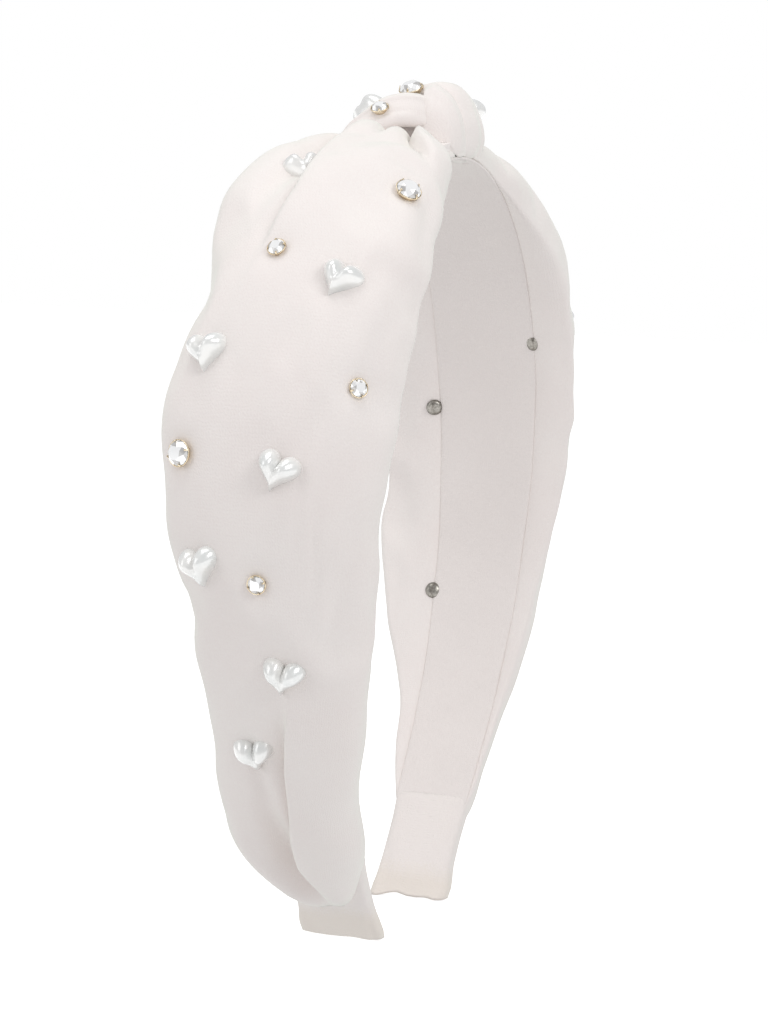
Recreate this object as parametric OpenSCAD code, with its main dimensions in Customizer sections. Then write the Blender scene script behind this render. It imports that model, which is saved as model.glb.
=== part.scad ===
// Knotted headband: a springy plastic arch with a lining, a wide puffed cover
// over each half, a turban knot on the crown, a cuff on each tip, and heart
// pearls and crystals held by rivets. X runs from ear to ear, -Y is the front.
// Left and right are as seen from the front, so the left half is at -X.

/* [Arch] */
// Radius of the arch over the crown, at the middle of the plastic
crown_r = 65; // [62:0.5:68]
// Height of the widest point above the tips
side_z = 86.5; // [84:0.5:88]
// Radius of each leg below the widest point
leg_r = 92; // [90:1:94]
// Lean of the straight tips from upright, in degrees
tip_lean = 39.4; // [38:0.2:41]

/* [Band] */
// Width of the plastic band over the crown
band_w = 20.4; // [19:0.2:21]
// Width of the plastic band at the tips
band_tip_w = 12.6; // [11:0.2:13]
// Height at which the band starts to narrow
taper_z = 105; // [80:1:120]
// Thickness of the plastic
band_t = 2.2; // [1.8:0.1:2.4]
// Thickness of the lining glued inside it
lining_t = 0.8; // [0.5:0.1:1]

/* [Covers] */
// Thickness of the doubled cover fabric
cloth_t = 0.8; // [0.6:0.1:1]
// Distance along the arch from the crown to where a cover leaves the knot
cover_start = 15; // [15:0.5:18]
// Distance along the arch from the crown to a cover's gathered lower end
cover_end = 190; // [186:1:192]
// Depth of the turned-in edge below the middle of the plastic
tuck = 1.6; // [1.2:0.1:2]

/* [Cuffs] */
// Length of each tip cuff along the leg
cuff_l = 22.5; // [18:0.5:26]
// Width of the cuff at its seam
cuff_w = 14.2; // [14:0.2:15]
// Width of the cuff at its open-looking hem
hem_w = 16; // [14:0.2:17]
// Thickness of the cuff fabric
cuff_t = 0.9; // [0.6:0.1:1]

/* [Trim] */
// Width of a heart pearl
heart_w = 8; // [6:0.5:9]
// Height of a heart pearl above the fabric
heart_h = 4.2; // [3:0.2:5]
// Diameter of the small crystals
crystal_d = 3.2; // [2.6:0.2:4]
// Diameter of the large crystals
big_crystal_d = 4.6; // [4:0.2:5]
// Diameter of a rivet's back
rivet_d = 3.5; // [3:0.1:4]

/* [Hidden] */
$fn = 96;
quarter = crown_r * PI / 2;
leg_arc = leg_r * tip_lean * PI / 180;
leg_l = quarter + leg_arc + (side_z - leg_r * sin(tip_lean)) / cos(tip_lean);
wide = 60;
post_r = 0.6;
post_clear = 0.05;
sleeve_gap = 0.4;
tip_gap = 1;
SIDES = [-1, 1];
SIDE_NAMES = ["left", "right"];

// Reach of each cover from the middle of the band: [distance from the crown, mm]
LEFT_BACK = [[15, 14], [30, 19], [50, 22], [100, 22], [125, 19], [150, 17], [170, 16.5], [190, 10]];
LEFT_FRONT = [[15, 11.5], [30, 16], [50, 19.5], [75, 20.5], [100, 18.5], [125, 16], [150, 12],
    [170, 9], [190, 8.2]];
RIGHT_BACK = [[15, 14], [30, 19], [50, 21.5], [100, 22], [125, 20.5], [150, 15], [170, 10], [190, 8.2]];
RIGHT_FRONT = [[15, 11.5], [30, 14], [50, 18], [75, 19.5], [100, 18.5], [125, 15], [150, 11.5],
    [170, 9], [190, 8.2]];
PUFF = [[15, 6], [30, 8.5], [60, 9.5], [100, 9], [140, 7.5], [170, 6], [190, 3.6]];

// Trim on each half: [distance from the crown, turn round the section, spin]
LEFT_HEARTS = [[38, 66, 20], [66, 110, -22], [79, 52, 10], [97, 94, -18], [113, 54, 12],
    [131, 96, -10], [148, 68, 6]];
LEFT_CRYSTALS = [[45, 135, 1], [61, 78, 0], [83, 132, 0], [95, 44, 1], [115, 86, 0]];
RIGHT_HEARTS = [[36, 112, -20], [60, 66, 18], [74, 134, -10], [96, 84, 14], [114, 118, -12],
    [131, 58, 10], [149, 104, -6]];
RIGHT_CRYSTALS = [[46, 54, 1], [66, 96, 0], [89, 52, 0], [98, 118, 1], [121, 88, 0]];
HEARTS = [LEFT_HEARTS, RIGHT_HEARTS];
CRYSTALS = [LEFT_CRYSTALS, RIGHT_CRYSTALS];

// Knot folds: [middle x, tilt, half span, rise, half width, half thickness]
STRAP = [9.9, 34, 12.4, 8.4, 4.5, 1.5];
ROLL = [0, 0, 13.6, 10.4, 5.2, 2.4];
knot_base = side_z + crown_r - 1.6;
// Trim on the knot: [fold, turn over the fold, spin or size]
KNOT_HEARTS = [[0, 36, 20], [1, -48, 0]];
KNOT_CRYSTALS = [[-1, 16, 0], [0, 4, 1], [1, -2, 0]];
KNOT_TRIM = concat(KNOT_HEARTS, KNOT_CRYSTALS);

HEART_NAMES = [for (k = [0, 1]) for (i = [1:len(HEARTS[k])]) str(SIDE_NAMES[k], "_heart_", i)];
CRYSTAL_NAMES = [for (k = [0, 1]) for (i = [1:len(CRYSTALS[k])]) str(SIDE_NAMES[k], "_crystal_", i)];
CUP_NAMES = [for (k = [0, 1]) for (i = [1:len(CRYSTALS[k])]) str(SIDE_NAMES[k], "_cup_", i)];
KNOT_HEART_NAMES = [for (i = [1:len(KNOT_HEARTS)]) str("knot_heart_", i)];
KNOT_CRYSTAL_NAMES = [for (i = [1:len(KNOT_CRYSTALS)]) str("knot_crystal_", i)];
KNOT_CUP_NAMES = [for (i = [1:len(KNOT_CRYSTALS)]) str("knot_cup_", i)];

// ---- the arch: s is the distance from the crown along its middle surface ----

function bend(s) = s < quarter ? s / crown_r * 180 / PI
    : 90 + min(tip_lean, (s - quarter) / leg_r * 180 / PI);
function straight(s) = max(0, s - quarter - leg_arc);
function arch_x(s) = s < quarter ? crown_r * sin(bend(s))
    : crown_r - leg_r + leg_r * cos(bend(s) - 90) - straight(s) * sin(tip_lean);
function arch_z(s) = s < quarter ? side_z + crown_r * cos(bend(s))
    : side_z - leg_r * sin(bend(s) - 90) - straight(s) * cos(tip_lean);
function at(side, s, y, out) = [side * (arch_x(s) + out * sin(bend(s))), y,
    arch_z(s) + out * cos(bend(s))];
function flat(side, s, out) = let(p = at(side, s, 0, out)) [p[0], p[2]];
function half_band(s) = (band_tip_w + (band_w - band_tip_w) * min(1, arch_z(s) / taper_z)) / 2;

// ---- the cover's section: a turns from the back edge over the crown to the front ----

function back_reach(side, s) = lookup(s, side < 0 ? LEFT_BACK : RIGHT_BACK);
function front_reach(side, s) = lookup(s, side < 0 ? LEFT_FRONT : RIGHT_FRONT);
function signed_pow(v, e) = sign(v) * pow(abs(v), e);
function reach(side, s, a) = cos(a) > 0 ? back_reach(side, s) : front_reach(side, s);
function section(side, s, a, inset) = [
    (reach(side, s, a) - inset) * signed_pow(cos(a), 0.91),
    sin(a) < 0 ? -(tuck - inset) * pow(-sin(a), 0.6) : (lookup(s, PUFF) - inset) * pow(sin(a), 0.91)];
function lip(s) = max(half_band(s), s > leg_l - cuff_l - 2 ? cuff_w / 2 : 0) + sleeve_gap;
function lip_turn(side, s, a, inset) = acos(min(1, pow(lip(s) / (reach(side, s, a) - inset), 1.1)));
function on_section(side, s, a, inset) =
    let(p = section(side, s, a, inset)) at(side, s, p[0], p[1]);
function edge_run(side, s, inset) =
    let(low = -lip_turn(side, s, 0, inset), high = 180 + lip_turn(side, s, 180, inset))
    [for (i = [0:24]) on_section(side, s, low + (high - low) * i / 24, inset)];
function reversed(list) = [for (i = [len(list) - 1:-1:0]) list[i]];
function cover_ring(side, s) =
    let(ring = concat(edge_run(side, s, 0), reversed(edge_run(side, s, cloth_t))))
    side < 0 ? reversed(ring) : ring;
function unit(v) = v / norm(v);
function out_normal(side, s, a) =
    let(along = on_section(side, s + 1, a, 0) - on_section(side, s - 1, a, 0),
        across = on_section(side, s, a + 2, 0) - on_section(side, s, a - 2, 0))
    unit(-side * cross(along, across));

// ---- a knot fold: b turns over the arch from the front to the back ----

function fold_shape(k) = k == 0 ? ROLL : STRAP;
function fold_middle(k, b) = let(f = fold_shape(k)) [k * f[0], f[2] * sin(b), knot_base + f[3] * cos(b)];
function fold_up(k, b) = let(f = fold_shape(k)) unit([0, f[3] * sin(b), f[2] * cos(b)]);
function fold_long(k, b) = let(t = fold_shape(k)[1]) [cos(t), 0, 0] - k * sin(t) * fold_up(k, b);
function fold_out(k, b) = let(t = fold_shape(k)[1]) [k * sin(t), 0, 0] + cos(t) * fold_up(k, b);
function fold_top(k, b) = fold_middle(k, b) + fold_shape(k)[5] * fold_out(k, b);
function fold_ring(k, b) = let(f = fold_shape(k))
    [for (q = [0:22.5:337.5]) fold_middle(k, b) + f[4] * signed_pow(cos(q), 0.8) * fold_long(k, b)
        + f[5] * signed_pow(sin(q), 0.8) * fold_out(k, b)];

// ---- shared shapes ----

// A closed solid through rings that all have the same number of points
module loft(rings) {
    n = len(rings[0]);
    m = len(rings);
    points = [for (r = rings) each r];
    walls = [for (i = [0:m - 2]) for (j = [0:n - 1])
        [i * n + j, i * n + (j + 1) % n, (i + 1) * n + (j + 1) % n, (i + 1) * n + j]];
    caps = [[for (j = [n - 1:-1:0]) j], [for (j = [0:n - 1]) (m - 1) * n + j]];
    polyhedron(points, concat(walls, caps));
}

// The piece of arch between two offsets from its middle surface
module arch_strip(low, high) {
    stations = concat([for (i = [0:24]) quarter * i / 24], [for (i = [1:12]) quarter + leg_arc * i / 12],
        [leg_l + 12]);
    run = function (out) concat([for (s = reversed(stations)) flat(-1, s, out)],
        [for (s = stations) if (s > 0) flat(1, s, out)]);
    rotate([90, 0, 0]) linear_extrude(wide, center = true)
        polygon(concat(run(high), reversed(run(low))));
}

// Puts its child where the straight end of the right leg starts, with Z up the leg
module leg_frame() {
    translate([crown_r - leg_r + leg_r * cos(tip_lean), 0, side_z - leg_r * sin(tip_lean)])
        rotate([0, tip_lean, 0]) children();
}

// The front view of the band's width, as a prism from ear to ear
module band_width(bottom) {
    half = band_w / 2;
    tip = band_tip_w / 2;
    cut = tip + (half - tip) * bottom / taper_z;
    top = side_z + crown_r + 10;
    translate([-100, 0, 0]) rotate([90, 0, 90]) linear_extrude(200)
        polygon([[-cut, bottom], [cut, bottom], [half, taper_z], [half, top], [-half, top],
            [-half, taper_z]]);
}

// Turns its child so that Z points along a normal, then moves it to a place
module stand_on(place, normal, spin = 0) {
    translate(place)
        rotate([0, acos(normal[2]), atan2(normal[1], normal[0])])
        rotate([0, 0, 90 + spin])
        children();
}

module on_cover(side, s, a, spin = 0) {
    stand_on(on_section(side, s, a, 0), out_normal(side, s, a), spin) children();
}

module on_fold(k, b, spin = 0) {
    stand_on(fold_top(k, b), fold_out(k, b), spin) children();
}

// ---- the band ----

module plastic_band() {
    color("whitesmoke") intersection() {
        arch_strip(-band_t / 2, band_t / 2);
        band_width(tip_gap);
    }
}

module band_lining() {
    color("linen") intersection() {
        arch_strip(-band_t / 2 - lining_t, -band_t / 2);
        band_width(tip_gap);
    }
}

module tip_cuff(mirrored) {
    low = -band_t / 2 - lining_t - cuff_t;
    high = band_t / 2 + cuff_t;
    end_l = leg_l - quarter - leg_arc;
    color("ivory") mirror([mirrored, 0, 0]) difference() {
        leg_frame() translate([low, 0, -end_l]) rotate([90, 0, 90]) linear_extrude(high - low)
            polygon([[-hem_w / 2, -6], [hem_w / 2, -6], [hem_w / 2, 2], [cuff_w / 2, 10],
                [cuff_w / 2, cuff_l], [-cuff_w / 2, cuff_l], [-cuff_w / 2, 10], [-hem_w / 2, 2]]);
        intersection() {
            arch_strip(-band_t / 2 - lining_t, band_t / 2);
            band_width(tip_gap);
        }
        translate([-100, -wide / 2, -20]) cube([200, wide, 20]);
    }
}

// ---- the covers ----

// A rivet goes through both layers of a cover where its foot lands beside the band
function foot(side, s, a) =
    let(p = on_section(side, s, a, 0), n = out_normal(side, s, a), height = section(side, s, a, 0)[1] + tuck)
    p - n * height * 0.96;
function runs_through(side, s, a) = abs(foot(side, s, a)[1]) > lip(s) + rivet_d / 2;

module cover(k) {
    side = SIDES[k];
    color("ivory") difference() {
        loft([for (i = [0:34]) cover_ring(side, cover_start + (cover_end - cover_start) * i / 34)]);
        for (t = concat(HEARTS[k], CRYSTALS[k])) on_cover(side, t[0], t[1])
            translate([0, 0, -20]) cylinder(r = post_r + post_clear, h = 21, $fn = 16);
    }
}

module cover_rivet(side, s, a) {
    n = out_normal(side, s, a);
    through = runs_through(side, s, a);
    depth = through ? norm(foot(side, s, a) - on_section(side, s, a, 0)) + 0.6 : cloth_t + 0.7;
    on_cover(side, s, a) translate([0, 0, -depth]) cylinder(r = post_r, h = depth + 0.05, $fn = 24);
    if (through) {
        inward = [-side * sin(bend(s)), 0, -cos(bend(s))];
        stand_on(foot(side, s, a) + 0.25 * inward, inward) rivet_back();
    } else {
        on_cover(side, s, a) translate([0, 0, -cloth_t - 0.3]) mirror([0, 0, 1]) rivet_back();
    }
}

module rivet_back() {
    r = rivet_d / 2;
    rotate_extrude() polygon([[0, 0], [r, 0], [r, 0.4], [r * 0.72, 0.8], [0, 0.9]]);
}

module rivets(k) {
    color("silver") for (t = concat(HEARTS[k], CRYSTALS[k])) cover_rivet(SIDES[k], t[0], t[1]);
}

// ---- the knot ----

module fold(k) {
    color("ivory") difference() {
        loft([for (b = [-96:8:96]) fold_ring(k, b)]);
        for (t = KNOT_TRIM) if (t[0] == k) on_fold(k, t[1]) translate([0, 0, -12])
            cylinder(r = post_r + post_clear, h = 13, $fn = 16);
    }
}

module knot_rivet(k, b) {
    depth = 2 * fold_shape(k)[5] + 0.4;
    on_fold(k, b) {
        translate([0, 0, -depth - 0.3]) cylinder(r = post_r, h = depth + 0.35, $fn = 24);
        translate([0, 0, -depth]) mirror([0, 0, 1]) rivet_back();
    }
}

module knot_rivets() {
    color("silver") for (t = KNOT_TRIM) knot_rivet(t[0], t[1]);
}

// ---- the trim ----

function heart_outline(q) = [16 * pow(sin(q), 3),
    13 * cos(q) - 5 * cos(2 * q) - 2 * cos(3 * q) - cos(4 * q) + 2.5] * heart_w / 32;
function heart_ring(grow, z) = [for (i = [0:27]) let(p = heart_outline(-i * 360 / 28))
    [p[0] * grow, p[1] * grow, z]];

module heart() {
    dome = heart_h - 0.6;
    color("white") translate([0, 0, 0.05])
        loft(concat([heart_ring(0.86, 0), heart_ring(1, 0.6)],
            [for (e = [20:17:88]) heart_ring(cos(e), 0.6 + dome * sin(e))]));
}

module crystal(d) {
    r = d / 2;
    color("lightcyan") translate([0, 0, 0.5]) rotate_extrude($fn = 12)
        polygon([[0, 0.1], [r * 0.3, 0.1], [r, r * 0.55], [r, r * 0.65], [r * 0.55, r * 1.05], [0, r * 1.05]]);
}

module cup(d) {
    r = d / 2;
    color("gold") {
        translate([0, 0, 0.05]) rotate_extrude()
            polygon([[0, 0], [r * 0.7, 0], [r + 0.35, 0.45 + r * 0.5], [r + 0.35, 0.45 + r * 0.65],
                [r + 0.06, 0.45 + r * 0.65], [r + 0.04, 0.45 + r * 0.5], [r * 0.3, 0.46], [0, 0.46]]);
        for (q = [45:90:315]) rotate([0, 0, q]) translate([r + 0.05, -0.3, 0.4 + r * 0.55])
            cube([0.3, 0.6, 0.15 + r * 0.3]);
    }
}

// ---- the whole headband ----

plastic_band();
band_lining();
cover(0);  // left_cover
cover(1);  // right_cover
fold(-1);  // left_strap
fold(1);  // right_strap
fold(0);  // knot_roll
tip_cuff(1);  // left_tip_cuff
tip_cuff(0);  // right_tip_cuff
rivets(0);  // left_rivets
rivets(1);  // right_rivets
knot_rivets();
for (k = [0, 1]) for (i = [0:len(HEARTS[k]) - 1])
    on_cover(SIDES[k], HEARTS[k][i][0], HEARTS[k][i][1], HEARTS[k][i][2]) heart();
for (k = [0, 1]) for (i = [0:len(CRYSTALS[k]) - 1]) {
    c = CRYSTALS[k][i];
    d = c[2] == 1 ? big_crystal_d : crystal_d;
    on_cover(SIDES[k], c[0], c[1]) crystal(d);
    on_cover(SIDES[k], c[0], c[1]) cup(d);
}
for (i = [0:len(KNOT_HEARTS) - 1])
    on_fold(KNOT_HEARTS[i][0], KNOT_HEARTS[i][1], KNOT_HEARTS[i][2]) heart();
for (i = [0:len(KNOT_CRYSTALS) - 1]) {
    c = KNOT_CRYSTALS[i];
    d = c[2] == 1 ? big_crystal_d : crystal_d;
    on_fold(c[0], c[1]) crystal(d);
    on_fold(c[0], c[1]) cup(d);
}
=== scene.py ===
import math

import bmesh
import bpy
import numpy as np
from mathutils import Matrix, Vector, noise
from mathutils.bvhtree import BVHTree


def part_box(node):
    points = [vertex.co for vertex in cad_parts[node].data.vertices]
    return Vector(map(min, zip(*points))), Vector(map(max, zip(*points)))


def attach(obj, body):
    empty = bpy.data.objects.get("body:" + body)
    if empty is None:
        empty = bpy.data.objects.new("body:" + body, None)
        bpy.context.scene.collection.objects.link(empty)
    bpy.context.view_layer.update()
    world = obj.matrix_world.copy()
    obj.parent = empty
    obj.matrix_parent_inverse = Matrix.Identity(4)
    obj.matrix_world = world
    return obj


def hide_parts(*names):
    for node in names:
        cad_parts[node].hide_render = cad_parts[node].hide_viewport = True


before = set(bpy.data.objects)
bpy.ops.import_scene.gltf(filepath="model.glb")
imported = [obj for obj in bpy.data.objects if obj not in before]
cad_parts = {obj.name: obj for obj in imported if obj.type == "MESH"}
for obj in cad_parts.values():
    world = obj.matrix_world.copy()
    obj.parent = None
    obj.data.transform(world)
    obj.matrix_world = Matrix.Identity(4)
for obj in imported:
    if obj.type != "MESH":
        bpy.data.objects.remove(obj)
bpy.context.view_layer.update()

# ---- The view ----
# The band stands on its tips and is seen from its left side, turned a little to
# the front, from just above the middle, with a slight lean.

MM = 0.001
AIM = Vector((0, 2.4, 80.1)) * MM
DISTANCE = 0.634
TURN, RISE, ROLL = math.radians(-72.3), math.radians(4.9), math.radians(2.56)
away = Vector((math.sin(TURN) * math.cos(RISE), -math.cos(TURN) * math.cos(RISE), math.sin(RISE)))
right = Vector((0, 0, 1)).cross(away).normalized()
up = away.cross(right)
right, up = (right * math.cos(ROLL) + up * math.sin(ROLL), up * math.cos(ROLL) - right * math.sin(ROLL))
lens = bpy.data.cameras.new("view")
lens.lens = 113.9
camera = bpy.data.objects.new("view", lens)
facing = Matrix((right, up, away)).transposed().to_4x4()
camera.matrix_world = Matrix.Translation(AIM + away * DISTANCE) @ facing
bpy.context.scene.collection.objects.link(camera)
bpy.context.scene.camera = camera

# ---- The table and the lights ----
# A plain white table in a bright room: a broad soft panel high in front, one
# overhead, a weak one behind, and pale walls that give more light low down, as
# they do beside a white table. The wall behind is seen as pure white.

bpy.context.scene.view_settings.view_transform = "Standard"


def new_mesh(name, points, faces):
    mesh = bpy.data.meshes.new(name)
    mesh.from_pydata([tuple(p) for p in points], [], [tuple(f) for f in faces])
    piece = bpy.data.objects.new(name, mesh)
    bpy.context.scene.collection.objects.link(piece)
    return piece


def new_material(name, colour, roughness):
    """A material with its Principled shader, and the tree to add texture nodes to"""
    material = bpy.data.materials.new(name)
    material.use_nodes = True
    tree = material.node_tree
    shader = tree.nodes["Principled BSDF"]
    shader.inputs["Base Color"].default_value = (*colour, 1)
    shader.inputs["Roughness"].default_value = roughness
    return material, tree, shader


def soft_panel(name, place, target, across, watts):
    """A square lamp, turned to its target"""
    lamp = bpy.data.lights.new(name, "AREA")
    lamp.shape = "RECTANGLE"
    lamp.size, lamp.size_y = across, across
    lamp.energy = watts
    panel = bpy.data.objects.new(name, lamp)
    panel.location = place
    panel.rotation_euler = (Vector(place) - Vector(target)).to_track_quat("Z", "Y").to_euler()
    bpy.context.scene.collection.objects.link(panel)


TABLE, TABLE_GLOW = 4.0, 0.66
table = new_mesh("table", [(-TABLE, -TABLE, 0), (TABLE, -TABLE, 0), (TABLE, TABLE, 0), (-TABLE, TABLE, 0)],
                 [(0, 1, 2, 3)])
white, _, shader = new_material("white_table", (0.8, 0.8, 0.8), 0.9)
shader.inputs["Emission Color"].default_value = (1, 1, 1, 1)
shader.inputs["Emission Strength"].default_value = TABLE_GLOW
table.data.materials.append(white)
table.visible_diffuse = False

WALLS_LOW, WALLS_HIGH = 0.9, 0.6
world = bpy.data.worlds.new("studio")
world.use_nodes = True
walls = world.node_tree.nodes["Background"]
walls.inputs[0].default_value = (0.985, 0.99, 1.0, 1)
toward = world.node_tree.nodes.new("ShaderNodeTexCoord")
parts = world.node_tree.nodes.new("ShaderNodeSeparateXYZ")
height = world.node_tree.nodes.new("ShaderNodeMapRange")
height.inputs["From Min"].default_value, height.inputs["From Max"].default_value = -1, 1
height.inputs["To Min"].default_value, height.inputs["To Max"].default_value = WALLS_LOW, WALLS_HIGH
world.node_tree.links.new(toward.outputs["Generated"], parts.inputs[0])
world.node_tree.links.new(parts.outputs["Z"], height.inputs["Value"])
world.node_tree.links.new(height.outputs["Result"], walls.inputs[1])
backdrop = world.node_tree.nodes.new("ShaderNodeBackground")
backdrop.inputs[0].default_value = (1, 1, 1, 1)
backdrop.inputs[1].default_value = 1.0
seen = world.node_tree.nodes.new("ShaderNodeLightPath")
either = world.node_tree.nodes.new("ShaderNodeMixShader")
world.node_tree.links.new(seen.outputs["Is Camera Ray"], either.inputs[0])
world.node_tree.links.new(walls.outputs[0], either.inputs[1])
world.node_tree.links.new(backdrop.outputs[0], either.inputs[2])
world.node_tree.links.new(either.outputs[0], world.node_tree.nodes["World Output"].inputs[0])
bpy.context.scene.world = world
soft_panel("front_panel", (-0.55, -0.95, 0.85), (0, 0, 0.09), 0.6, 4.2)
soft_panel("top_panel", (-0.1, 0.15, 1.1), (0, 0, 0.1), 0.7, 3.4)
soft_panel("back_panel", (-0.7, 0.8, 0.5), (0, 0, 0.09), 0.6, 1.5)

# ---- The plastic band ----
# One moulded strip of springy plastic, bent into the arch and narrowed to the
# tips. The covers, lining and cuffs hide all of it.


def add_noise(tree, scale, detail=4.0):
    """A noise texture laid through the piece, finer as scale grows"""
    place = tree.nodes.new("ShaderNodeTexCoord")
    grain = tree.nodes.new("ShaderNodeTexNoise")
    grain.inputs["Scale"].default_value = scale
    grain.inputs["Detail"].default_value = detail
    tree.links.new(place.outputs["Object"], grain.inputs["Vector"])
    return grain


def add_bump(tree, shader, height, strength, depth):
    bump = tree.nodes.new("ShaderNodeBump")
    bump.inputs["Strength"].default_value = strength
    bump.inputs["Distance"].default_value = depth
    tree.links.new(height, bump.inputs["Height"])
    tree.links.new(bump.outputs["Normal"], shader.inputs["Normal"])


def blend_colours(tree, shader, amount, low, high):
    """Colours the piece between two tones, by a texture's value"""
    ramp = tree.nodes.new("ShaderNodeValToRGB")
    ramp.color_ramp.elements[0].position, ramp.color_ramp.elements[1].position = 0.35, 0.65
    ramp.color_ramp.elements[0].color = (*low, 1)
    ramp.color_ramp.elements[1].color = (*high, 1)
    tree.links.new(amount, ramp.inputs["Fac"])
    tree.links.new(ramp.outputs["Color"], shader.inputs["Base Color"])


band_plastic, tree, shader = new_material("band_plastic", (0.84, 0.79, 0.765), 0.5)
grain = add_noise(tree, 900)
blend_colours(tree, shader, grain.outputs["Fac"], (0.82, 0.77, 0.745), (0.86, 0.81, 0.785))
add_bump(tree, shader, grain.outputs["Fac"], 0.2, 0.00005)
for place in bpy.data.objects["plastic_band"].material_slots:
    place.material = band_plastic

# The arch that every fabric piece follows: distances run down from the crown
# along the middle of the plastic, in millimetres.
CROWN_R, SIDE_Z, LEG_R, LEAN = 65.0, 86.5, 92.0, math.radians(39.4)
QUARTER = CROWN_R * math.pi / 2
LEG_ARC = LEG_R * LEAN
LEG_L = QUARTER + LEG_ARC + (SIDE_Z - LEG_R * math.sin(LEAN)) / math.cos(LEAN)
BAND_W, TIP_W, TAPER_Z = 20.4, 12.6, 105.0


def arch(s):
    """Sideways place, height and outward turn of the arch's middle at distance s"""
    s = np.asarray(s, float)
    turn = np.where(s < QUARTER, s / CROWN_R, math.pi / 2 + np.clip((s - QUARTER) / LEG_R, 0, LEAN))
    low = np.maximum(0, turn - math.pi / 2)
    run = np.maximum(0, s - QUARTER - LEG_ARC)
    leg_x = CROWN_R - LEG_R + LEG_R * np.cos(low) - run * math.sin(LEAN)
    leg_z = SIDE_Z - LEG_R * np.sin(low) - run * math.cos(LEAN)
    x = np.where(s < QUARTER, CROWN_R * np.sin(turn), leg_x)
    z = np.where(s < QUARTER, SIDE_Z + CROWN_R * np.cos(turn), leg_z)
    return x, z, turn


def on_arch(side, s, y, out):
    """Points at distance s from the crown, y across the band and out from its middle"""
    x, z, turn = arch(s)
    return np.stack([side * (x + out * np.sin(turn)), y + 0 * x, z + out * np.cos(turn)], axis=-1)


def half_band(s):
    return (TIP_W + (BAND_W - TIP_W) * np.minimum(1, arch(s)[1] / TAPER_Z)) / 2


def grid_piece(name, grid, uv_size, round_way=False):
    """A mesh over rows and columns of points in millimetres, with a UV map in centimetres of cloth"""
    rows, cols = grid.shape[:2]
    last = cols if round_way else cols - 1
    faces = [(i * cols + j, i * cols + (j + 1) % cols, (i + 1) * cols + (j + 1) % cols, (i + 1) * cols + j)
             for i in range(rows - 1) for j in range(last)]
    piece = new_mesh(name, grid.reshape(-1, 3) * MM, faces)
    width, length = uv_size
    uv = piece.data.uv_layers.new(name="cloth")
    corner = 0
    for i in range(rows - 1):
        for j in range(last):
            for di, dj in ((0, 0), (0, 1), (1, 1), (1, 0)):
                uv.data[corner].uv = ((j + dj) / last * width / 10, (i + di) / (rows - 1) * length / 10)
                corner += 1
    piece.data.polygons.foreach_set("use_smooth", [True] * len(faces))
    return piece


def turn_outward(piece, centre):
    """Makes the faces look away from a centre line, given as a function of each face's middle"""
    work = bmesh.new()
    work.from_mesh(piece.data)
    votes = 0
    for face in work.faces:
        middle = face.calc_center_median()
        votes += 1 if face.normal.dot(middle - centre(middle)) > 0 else -1
    if votes < 0:
        bmesh.ops.reverse_faces(work, faces=work.faces)
    work.to_mesh(piece.data)
    work.free()


def use_modifier(piece, kind, **values):
    """Adds a modifier, applies it, and leaves the mesh plain"""
    modifier = piece.modifiers.new(kind.lower(), kind)
    for key, value in values.items():
        setattr(modifier, key, value)
    bpy.context.view_layer.objects.active = piece
    bpy.ops.object.modifier_apply(modifier=modifier.name)


def through(stations, s):
    """A smooth curve through a few given stations, each a distance and a value"""
    x, y = np.array(stations, float).T
    slope = np.gradient(y, x)
    i = np.clip(np.searchsorted(x, s) - 1, 0, len(x) - 2)
    h = x[i + 1] - x[i]
    t = np.clip((s - x[i]) / h, 0, 1)
    return ((1 + 2 * t) * (1 - t) ** 2 * y[i] + t * (1 - t) ** 2 * h * slope[i]
            + t * t * (3 - 2 * t) * y[i + 1] + t * t * (t - 1) * h * slope[i + 1])


# ---- The covers ----
# A wide panel of ivory crepe over each half. It is gathered under the knot and
# into the tip, its long edges are turned in under the lining, and the fabric
# between stands off the band. Folds run down from the knot.

CLOTH_T = 0.6
SEAM, CUFF_LIP = 22.5, 7.2
UNDER_LINING = 1.75
BLOTCH, SPECKLE, CRINKLE = 60, 2400, 1700


def add_weave(tree, thread):
    """Crossing threads, uneven as crepe's are, from the cloth's own UV map"""
    place = tree.nodes.new("ShaderNodeTexCoord")
    threads = []
    for direction in ("X", "Y"):
        wave = tree.nodes.new("ShaderNodeTexWave")
        wave.bands_direction = direction
        wave.inputs["Scale"].default_value = math.pi / thread
        wave.inputs["Distortion"].default_value = 7.0
        wave.inputs["Detail"].default_value = 2
        wave.inputs["Detail Scale"].default_value = 1.5
        tree.links.new(place.outputs["UV"], wave.inputs["Vector"])
        threads.append(wave.outputs["Fac"])
    cross = tree.nodes.new("ShaderNodeMath")
    cross.operation = "MULTIPLY"
    tree.links.new(threads[0], cross.inputs[0])
    tree.links.new(threads[1], cross.inputs[1])
    return cross.outputs[0]


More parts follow.
